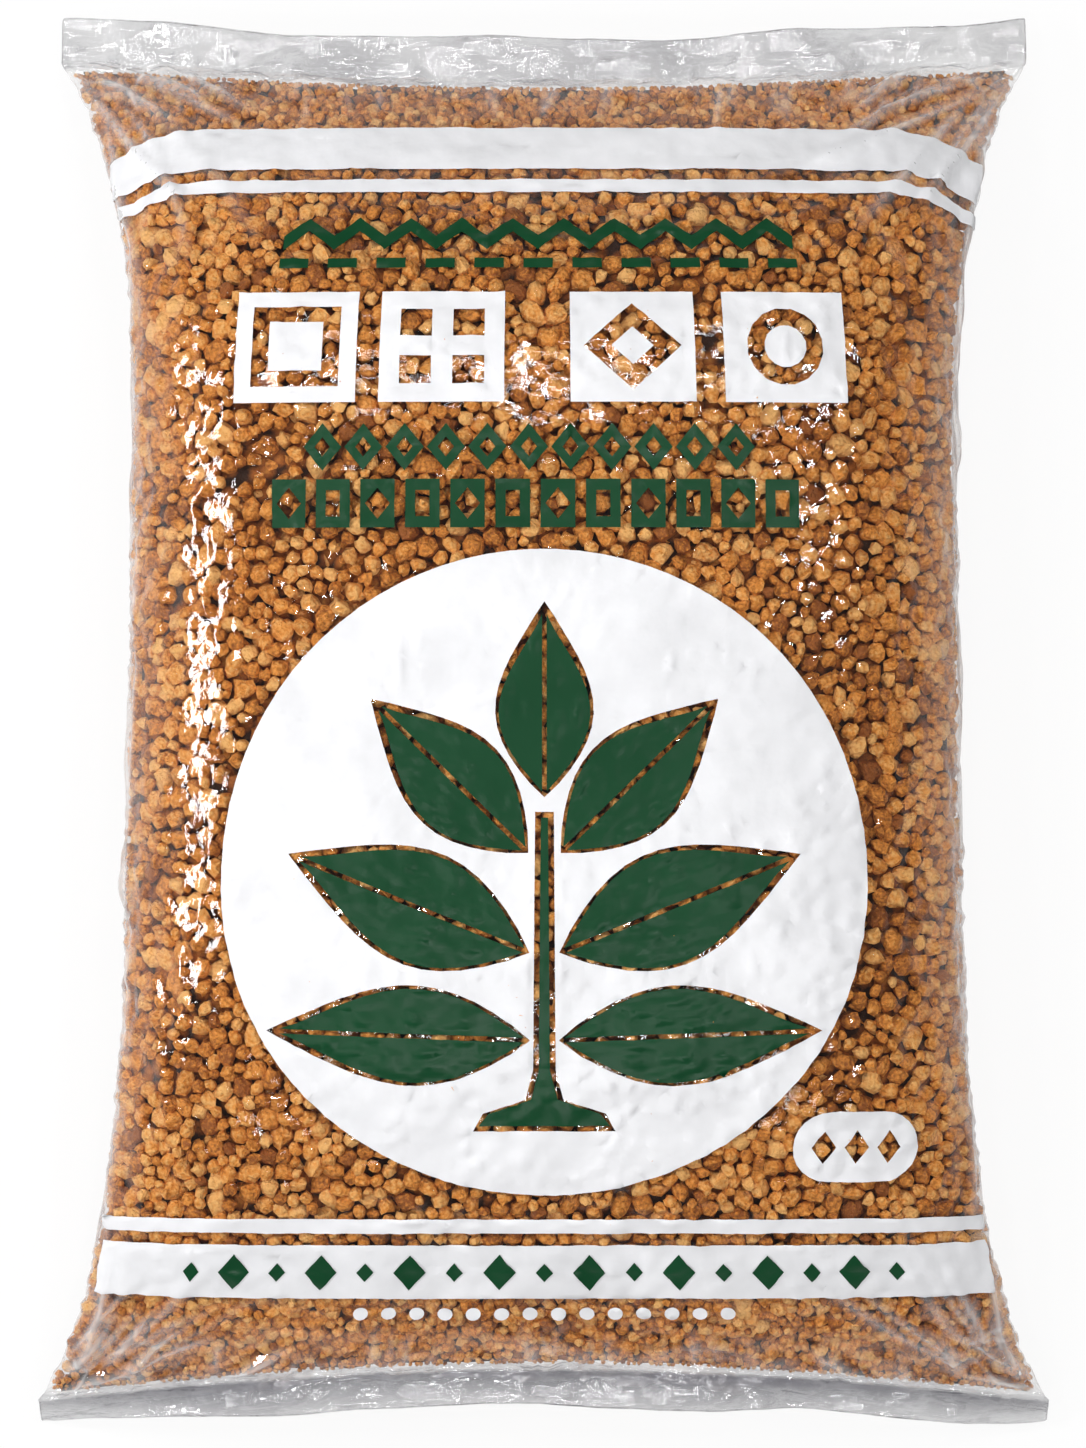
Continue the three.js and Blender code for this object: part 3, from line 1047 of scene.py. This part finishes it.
def granule_trees(context):
    """The granules as trees of faces, each with the side of the bag that it is on, or 0 for both. The
    ones that the front rests on come first."""
    graph = context.evaluated_depsgraph_get()
    parts = [(-1, "front_left"), (1, "front_right"), (0, "inner"), (-1, "back_left"), (1, "back_right")]
    return [(side, BVHTree.FromObject(bpy.data.objects["granules_" + name], graph)) for side, name in parts]


def nearest(point, trees):
    """Distance to the nearest granule, or None where there is none within reach."""
    reach, gap = 0.012, None
    for tree in trees:
        gap = tree.find_nearest(point, reach if gap is None else gap)[3] or gap
    return gap


def buried(point, normal, trees, needed):
    """How far to move a point along its normal until it is `needed` over what lies there."""
    above = 0.0025
    start = Vector(point) + Vector(normal) * above
    way = -Vector(normal)
    hits = [tree.ray_cast(start, way, above + needed)[3] for tree in trees]
    return max([above + needed - hit for hit in hits if hit is not None], default=0.0)


def cling(points, normals, trees, draw, most):
    """Draw the film in a little between the granules, and push it clear of any that reach it. Returns
    its points and how loose it hangs at each, from 0 to 1."""
    clear, overlap, taut, slack = 0.0004, 0.010, 0.0012, 0.005
    loose = np.ones(len(points))
    for k, (point, normal) in enumerate(zip(points, normals)):
        near = [tree for side, tree in trees if side * point[0] > -overlap]
        push = buried(point, normal, near, clear)
        gap = nearest(point, near)
        if push > 0:
            points[k] += normal * push
        elif gap is not None:
            points[k] -= normal * min(max(gap - clear, 0) * draw[k], most[k])
        if gap is not None:
            loose[k] = min(max(gap - taut, 0) / slack, 1)
    return points, loose


def lift_clear(mesh, trees, needed, rounds):
    """Raise a sheet where a corner or the middle of a face is less than `needed` over what is under it."""
    for _ in range(rounds):
        points, normals = coordinates(mesh), vertex_normals(mesh)
        lift = np.zeros(len(points))
        tried = [(face.center, face.normal, face.vertices[:]) for face in mesh.polygons]
        tried += [(vert.co, vert.normal, (vert.index,)) for vert in mesh.vertices]
        for middle, normal, corners in tried:
            short = buried(middle, normal, trees, needed)
            for k in corners:
                lift[k] = max(lift[k], short)
        set_coordinates(mesh, points + normals * lift[:, None])


class SOILBAG_OT_film(bpy.types.Operator):
    """Make the film tube, let it settle round the soil and draw it in on the granules"""

    bl_idname = "soilbag.film"
    bl_label = "Clear film"

    def execute(self, context):
        film = context.scene.soil_bag_film
        rows = len(laid_rows(film)) - 1
        mesh = settled_film(film, rows)
        points, normals, laid = coordinates(mesh), vertex_normals(mesh), laid_places(mesh)
        off_middle = np.abs(laid[:, 0])
        across = laid[:, 0] * film.width / 2
        along = np.interp((laid[:, 1] + 1) / 2 * rows, np.arange(rows + 1), laid_rows(film))
        sheet = np.stack([across, along], -1)
        from_seal = np.minimum(along, film.cut_length - along)
        strip, ends = from_seal < 0, bell(from_seal, 0.02)

        # The crinkled sealed strips, which swing up and down and end in a wavy edge.
        crinkle = waves(sheet, 11, 24, 0.030, 0.007)
        points[:, 2] += crinkle * 0.0014 * strip
        points += normals * (np.abs(crinkle) * 0.0012 * ends * ~strip)[:, None]
        past = np.maximum(np.maximum(-along / film.bottom_fin, (along - film.cut_length) / film.top_fin), 0)
        points[:, 2] += waves(sheet, 31, 9, 0.085, 0.030) * 0.0022 * past
        points[:, 1] += waves(sheet * (1, 0), 32, 9, 0.16, 0.04) * past * 0.0012

        # The folds, and then the film between them drawn in on the granules, most at the side folds.
        fold, mark = ridges(sheet, film_folds(film))
        points += fold[:, None] * np.where(strip[:, None], np.array([0.0, 0.0, 1.0]), normals)
        side = off_middle**6
        hug = side * np.clip(0.75 + 0.45 * waves(sheet * (0.05, 1), 41, 7, 0.11, 0.035), 0, 1)
        draw = np.clip(from_seal / 0.02, 0, 1) * ~strip * mix(0.55, 0.88, side)
        points, loose = cling(points, normals, granule_trees(context), draw, 0.001 + 0.0042 * hug)
        points[:, 2] = np.maximum(points[:, 2], 0.0)
        set_coordinates(mesh, points)

        # What the material reads: haze where film is welded or loose, facets near corners and seals, and the
        # folds, along which it paints white lines, partly the film's whitening and partly painted highlight.
        loose_haze = loose * np.maximum(mix(0.05, 0.45, ends**3), 0.8 * side**3)
        veil = np.where(from_seal < 0.0060, self.strip_haze(film, sheet, off_middle), loose_haze)
        corner = np.hypot(across - np.sign(across) * film.width / 2, from_seal)
        creased = (0.9 * bell(corner, 0.062) + 0.6 * ends) * ~strip + 0.12 * strip + 0.5 * mark
        for name, values in (("veil", veil), ("creased", creased), ("pleat", mark)):
            mesh.attributes.new(name, "FLOAT", "POINT").data.foreach_set("value", values.astype(np.float32))
        piece = finish_piece("clear_film", mesh, glossy_film(film), ("film_bag",))
        return {"FINISHED"}

    def strip_haze(self, film, sheet, off_middle):
        """Haze of the sealed strips, densest along the bottom seal line and thin at its corners."""
        along = sheet[:, 1]
        top = 0.21 * (1 + 0.35 * waves(sheet, 51, 8, 0.09, 0.02))
        off_seal = np.clip(-along / film.bottom_fin, 0, 1)
        bottom = (0.25 + 0.66 * (1 - off_seal) ** 1.7) * (1 - 0.45 * off_middle**5)
        bottom = bottom * (1 + 0.16 * waves(sheet * (1, 0.3), 52, 8, 0.16, 0.03))
        return np.clip(np.where(along < 0, bottom, top), 0.05, 0.95)


class Art:
    """Flat print, drawn as closed lines on the laid-out film and then filled."""

    def __init__(self):
        self.bm = bmesh.new()

    def ring(self, middle, size, corners=4, turn=0.0):
        """A closed line of corners round a middle. `size` is its width and height."""
        start = math.pi / corners + turn
        reach = 0.5 / (math.cos(math.pi / corners) if corners == 4 and not turn else 1.0)
        made = bmesh.ops.create_circle(self.bm, segments=corners, radius=reach)["verts"]
        for k, vert in enumerate(made):
            angle = start + 2 * math.pi * k / corners
            x = middle[0] + size[0] * reach * math.cos(angle)
            vert.co = (x, middle[1] + size[1] * reach * math.sin(angle), 0)

    def rectangle(self, middle, size):
        self.ring(middle, size)

    def diamond(self, middle, size):
        self.ring(middle, size, turn=math.pi / 4)

    def circle(self, middle, radius):
        self.ring(middle, (2 * radius, 2 * radius), max(16, int(radius * 700)))

    def line(self, points):
        verts = [self.bm.verts.new((*point, 0)) for point in points]
        for a, b in zip(verts, verts[1:] + verts[:1]):
            self.bm.edges.new((a, b))

    def fill(self):
        """Fill the lines drawn so far, with every other nested line as a hole."""
        open_edges = [e for e in self.bm.edges if not e.link_faces]
        bmesh.ops.triangle_fill(self.bm, use_beauty=True, edges=open_edges)

    def on_film(self, grid, film, cell, height):
        """The art as a mesh of small squares that lies on the film."""
        bm = self.bm
        half = film.width / 2
        for way, first, last in (((1, 0, 0), -half, half), ((0, 1, 0), 0, film.cut_length)):
            for number in range(1, int((last - first) / cell)):
                place = [axis * (first + number * cell) for axis in way]
                parts = bm.verts[:] + bm.edges[:] + bm.faces[:]
                bmesh.ops.bisect_plane(bm, geom=parts, dist=1e-6, plane_co=place, plane_no=way)
        bm.normal_update()
        bmesh.ops.reverse_faces(bm, faces=[face for face in bm.faces if face.normal.z < 0])
        mesh = mesh_of(bm, "ink")
        flat = coordinates(mesh)
        set_coordinates(mesh, film_points(grid, film, flat[:, 0], flat[:, 1], height))
        return mesh


def film_grid(film, mesh):
    """The film's front as rows of points and normals, two steps to each square of the coarse film."""
    laid = laid_places(mesh)
    rows = len(laid_rows(film)) - 1
    front = laid[:, 2] > -0.25
    column = np.round((laid[:, 0] + 1) * film.columns).astype(int)
    row = np.round((laid[:, 1] + 1) * rows).astype(int)
    grid = np.zeros((2 * rows + 1, 2 * film.columns + 1, 6))
    values = np.concatenate([coordinates(mesh), vertex_normals(mesh)], 1)
    grid[row[front], column[front]] = values[front]
    return grid


def heights_up(grid):
    """How far up the bag each grid point lies, with the film's small creases evened out."""
    up = grid[..., 1:2].copy()
    for _ in range(30):
        up[1:-1] = (up[:-2] + 2 * up[1:-1] + up[2:]) / 4
        up[:, 1:-1] = (up[:, :-2] + 2 * up[:, 1:-1] + up[:, 2:]) / 4
    return up


def film_points(grid, film, across, along, height):
    """Points over the film's front at places on the flat film. A row of the print is straight as seen from
    above, and beyond `straight` it dips at the top of the bag and rises at the bottom."""
    straight, bend_over, low_rise, top_dip = 0.142, 0.046, 0.003, -0.0150
    rows = 2 * (FIN_ROWS[-1] + along / film.cut_length * film.rows)
    columns = (across / film.width + 0.5) * 2 * film.columns
    up = heights_up(grid)
    middle = bilinear(up, rows, 0 * columns + film.columns)[:, 0]
    past = np.clip((np.abs(across) - straight) / bend_over, 0, 1)
    middle = middle + past**2 * mix(low_rise, top_dip, along / film.cut_length)
    moved = rows
    for _ in range(4):
        here = bilinear(up, moved, columns)[:, 0]
        rise = bilinear(up, moved + 2, columns)[:, 0] - bilinear(up, moved - 2, columns)[:, 0]
        moved = moved + np.clip((middle - here) / np.maximum(rise / 4, 0.0008), -8, 8)
    found = bilinear(grid, moved, columns)
    return found[:, :3] + unit(found[:, 3:]) * height


def leaf_side(base, tip, breadth, side, spare):
    """Points up one edge of a leaf from its base to its tip, `spare` outside its own outline."""
    steps = 14
    base, tip = Vector(base), Vector(tip)
    way = (tip - base).normalized()
    out = Vector((-way.y, way.x)) * side
    length = (tip - base).length
    points = []
    for k in range(steps + 1):
        share = k / steps
        swell = math.sin(math.pi * share**0.8) ** 0.85 * breadth / 2 + spare
        reach = mix(-spare, length + 2.2 * spare, share)
        ending = math.sin(math.pi * share) ** 0.35 if 0 < share < 1 else 0.0
        points.append(base + way * reach + out * (swell * ending))
    return points


def sprig_foot(sizes):
    return sizes.disc_middle - 0.074


def sprig_leaves(sizes):
    """Base, tip and breadth of each leaf of the sprig on the disc."""
    foot = sprig_foot(sizes)
    leaves = [((0.0, foot + 0.108), (0.0, foot + 0.176), 0.034)]
    for side in (-1, 1):
        for rise, turn, length, breadth in (
            (0.012, 2, 0.096, 0.036),
            (0.047, 22, 0.094, 0.041),
            (0.086, 44, 0.078, 0.036),
        ):
            angle = math.radians(turn)
            base = (side * 0.0078, foot + rise)
            tip = (base[0] + side * length * math.cos(angle), base[1] + length * math.sin(angle))
            leaves.append((base, tip, breadth))
    return leaves


def draw_white(sizes):
    """Bands, four blocks, the disc with its leaf-shaped gaps, a label shape and a row of dots."""
    art = Art()
    across = 2 * sizes.band_half
    for middle, height in (
        (sizes.top_band, 0.0220),
        (sizes.top_band - 0.0197, 0.0064),
        (sizes.low_band, 0.0256),
        (sizes.low_band + 0.0216, 0.0065),
    ):
        art.rectangle((0, middle), (across, height))
    size = (0.0495, 0.0446)
    at = [(x, sizes.block_middle) for x in (-0.0992, -0.0405, 0.0350, 0.0960)]
    for place in at:
        art.rectangle(place, size)
    for share in (0.72, 0.44):
        art.rectangle(at[0], (size[0] * share, size[1] * share))
    for side in (-1, 1):
        for up in (-1, 1):
            art.rectangle((at[1][0] + side * 0.0105, at[1][1] + up * 0.0095), (0.0125, 0.0110))
    for share in (0.78, 0.34):
        art.diamond(at[2], (size[0] * share, size[1] * share))
    for radius in (0.0155, 0.0085):
        art.circle(at[3], radius)
    for k in range(14):
        art.circle(((k - 6.5) * 0.0112, 0.0300), 0.0030)
    art.fill()
    label = (0.125, 0.1065)
    pill(art, label, (0.052, 0.030))
    for k in (-1, 0, 1):
        art.diamond((label[0] + k * 0.0135, label[1]), (0.010, 0.014))
    art.fill()
    art.circle((0, sizes.disc_middle), sizes.disc_radius)
    for base, tip, breadth in sprig_leaves(sizes):
        left = leaf_side(base, tip, breadth, 1, sizes.outline)
        right = leaf_side(base, tip, breadth, -1, sizes.outline)
        art.line(left + right[-2:0:-1])
    stem(art, sizes, sizes.outline)
    art.fill()
    return art


def stem(art, sizes, spare):
    """The sprig's stem, a tapered stroke with a foot, `spare` outside its own outline."""
    foot = sprig_foot(sizes)
    side = [(0.0260, -0.0230), (0.0220, -0.0180), (0.0052, -0.0120), (0.0022, 0.0), (0.0014, 0.0980)]
    lift = [-spare, 0, 0, 0, spare]
    out = [(x + spare, foot + y + up) for (x, y), up in zip(side, lift)]
    art.line(out + [(-x, y) for x, y in reversed(out)])


def pill(art, middle, size):
    """A closed line with half-round ends."""
    radius = size[1] / 2
    points = []
    for side in (1, -1):
        for k in range(13):
            angle = math.radians(-90 + 15 * k)
            x = side * (size[0] / 2 - radius + radius * math.cos(angle))
            points.append((middle[0] + x, middle[1] + side * radius * math.sin(angle)))
    art.line(points)


def draw_green(sizes):
    """Two-part leaves and their stem, a zigzag, rows of plain marks and diamonds on the low band."""
    art = Art()
    rib = 0.0009
    for base, tip, breadth in sprig_leaves(sizes):
        way = (Vector(tip) - Vector(base)).normalized()
        for side in (-1, 1):
            shift = Vector((-way.y, way.x)) * side * rib
            art.line([p + shift for p in leaf_side(base, tip, breadth, side, 0.0)])
    stem(art, sizes, 0.0)
    art.fill()
    zigzag(art, (-0.0025, 0.4668), (0.2100, 0.0145), 10, 0.0062)
    for k in range(11):
        art.rectangle(((k - 5) * 0.0200 - 0.0025, 0.4535), (0.0120, 0.0042))
    for k in range(11):
        place = ((k - 5) * 0.0162 - 0.006, 0.3792)
        art.diamond(place, (0.0150, 0.0182))
        art.diamond(place, (0.0062, 0.0076))
    for k in range(12):
        place = ((k - 5.5) * 0.0176 - 0.0035, 0.3575)
        art.rectangle(place, (0.0135, 0.0186))
        if k % 2:
            art.rectangle(place, (0.0055, 0.0100))
        else:
            art.diamond(place, (0.0098, 0.0120))
    for k in range(17):
        place = ((k - 8) * 0.0180, sizes.low_band)
        art.diamond(place, (0.0130, 0.0170) if k % 2 else (0.0070, 0.0090))
    art.fill()
    return art


def zigzag(art, middle, size, teeth, stroke):
    """A zigzag stroke as one closed line."""
    step = size[0] / teeth / 2
    top = [
        (middle[0] - size[0] / 2 + k * step, middle[1] + (k % 2 - 0.5) * (size[1] - stroke) + stroke / 2)
        for k in range(2 * teeth + 1)
    ]
    art.line(top + [(x, y - stroke) for x, y in reversed(top)])


class SOILBAG_OT_print(bpy.types.Operator):
    """Lay the white and green print on the front of the film"""

    bl_idname = "soilbag.print"
    bl_label = "Print"

    def execute(self, context):
        film, sizes = context.scene.soil_bag_film, context.scene.soil_bag_print
        clear_film = bpy.data.objects["clear_film"]
        grid = film_grid(film, clear_film.data)
        under = [BVHTree.FromObject(clear_film, context.evaluated_depsgraph_get())]
        under += [tree for _, tree in granule_trees(context)[:3]]
        over_white, white_sheet = 0.00032, []
        for name, art, colour, height in (
            ("white_ink", draw_white(sizes), sizes.white, 0.00030),
            ("green_ink", draw_green(sizes), sizes.green, 0.00045),
        ):
            mesh = art.on_film(grid, film, sizes.cell, height)
            lift_clear(mesh, under, 0.8 * height, 2)
            if white_sheet:
                lift_clear(mesh, white_sheet, over_white, 4)
            corners = [vert.co for vert in mesh.vertices]
            white_sheet = [BVHTree.FromPolygons(corners, [face.vertices for face in mesh.polygons])]
            finish_piece(name, mesh, printing_ink(name, colour))
        return {"FINISHED"}


def softbox(name, place, size, radiance):
    """An area lamp of the given brightness, aimed at the middle of the bag."""
    light = bpy.data.lights.new(name, "AREA")
    light.shape = "RECTANGLE"
    light.size, light.size_y = size
    light.energy = radiance * math.pi * size[0] * size[1]
    lamp = add_object(name, light)
    lamp.location = place
    lamp.rotation_mode = "QUATERNION"
    lamp.rotation_quaternion = (Vector((0, 0, 0.05)) - Vector(place)).to_track_quat("-Z", "Y")


class SOILBAG_OT_stage(bpy.types.Operator):
    """Set the floor, the soft lamps, the white background and the camera"""

    bl_idname = "soilbag.stage"
    bl_label = "Stage"

    def execute(self, context):
        scene = context.scene
        scene.view_settings.view_transform = "Standard"
        bm = bmesh.new()
        bmesh.ops.create_grid(bm, x_segments=1, y_segments=1, size=6)
        floor = add_object("floor", mesh_of(bm, "floor"))
        floor.data.materials.append(pale_floor())
        softbox("softbox_left", (-1.5, 0.10, 0.95), (0.62, 0.26), 27)
        softbox("softbox_top", (0.0, 0.80, 1.75), (1.50, 0.09), 12)
        softbox("softbox_bottom", (0.0, -0.95, 1.60), (1.30, 0.09), 9)
        away = 2.1
        for k, (turn, lean) in enumerate(((20, 34), (75, 26), (140, 36), (205, 24), (265, 32), (320, 22))):
            around, down = math.radians(turn), math.radians(lean)
            out = away * math.sin(down)
            place = (out * math.cos(around), out * math.sin(around), away * math.cos(down))
            softbox(f"spot_box_{k}", place, (0.16, 0.16), 57)
        scene.world = white_world()
        lens = bpy.data.cameras.new("camera")
        lens.sensor_width = 36
        lens.lens = 163.5
        lens.clip_end = 60
        scene.camera = add_object("camera", lens)
        scene.camera.location = (-0.0004, -0.0016, 2.6)
        return {"FINISHED"}


class SOILBAG_PT_panel(bpy.types.Panel):
    """The bag's sizes and the operators that make it"""

    bl_label = "Soil Bag"
    bl_idname = "SOILBAG_PT_panel"
    bl_space_type = "VIEW_3D"
    bl_region_type = "UI"
    bl_category = "Soil Bag"

    def draw(self, context):
        for group in (getattr(context.scene, name) for name in GROUPS):
            box = self.layout.box()
            for name in group.bl_rna.properties.keys():
                if name not in ("rna_type", "name"):
                    box.prop(group, name)
        for operator in OPERATORS:
            self.layout.operator(operator.bl_idname)


GROUPS = {"soil_bag_film": FilmSizes, "soil_bag_granules": GranuleSizes, "soil_bag_print": PrintSizes}
OPERATORS = (SOILBAG_OT_granules, SOILBAG_OT_film, SOILBAG_OT_print, SOILBAG_OT_stage)
CLASSES = (*GROUPS.values(), *OPERATORS, SOILBAG_PT_panel)


def register():
    for cls in CLASSES:
        bpy.utils.register_class(cls)
    for name, group in GROUPS.items():
        setattr(bpy.types.Scene, name, PointerProperty(type=group))


def unregister():
    for name in GROUPS:
        delattr(bpy.types.Scene, name)
    for cls in reversed(CLASSES):
        bpy.utils.unregister_class(cls)


def main():
    register()
    bpy.ops.soilbag.granules()
    bpy.ops.soilbag.film()
    bpy.ops.soilbag.print()
    bpy.ops.soilbag.stage()


if __name__ == "__main__":
    main()
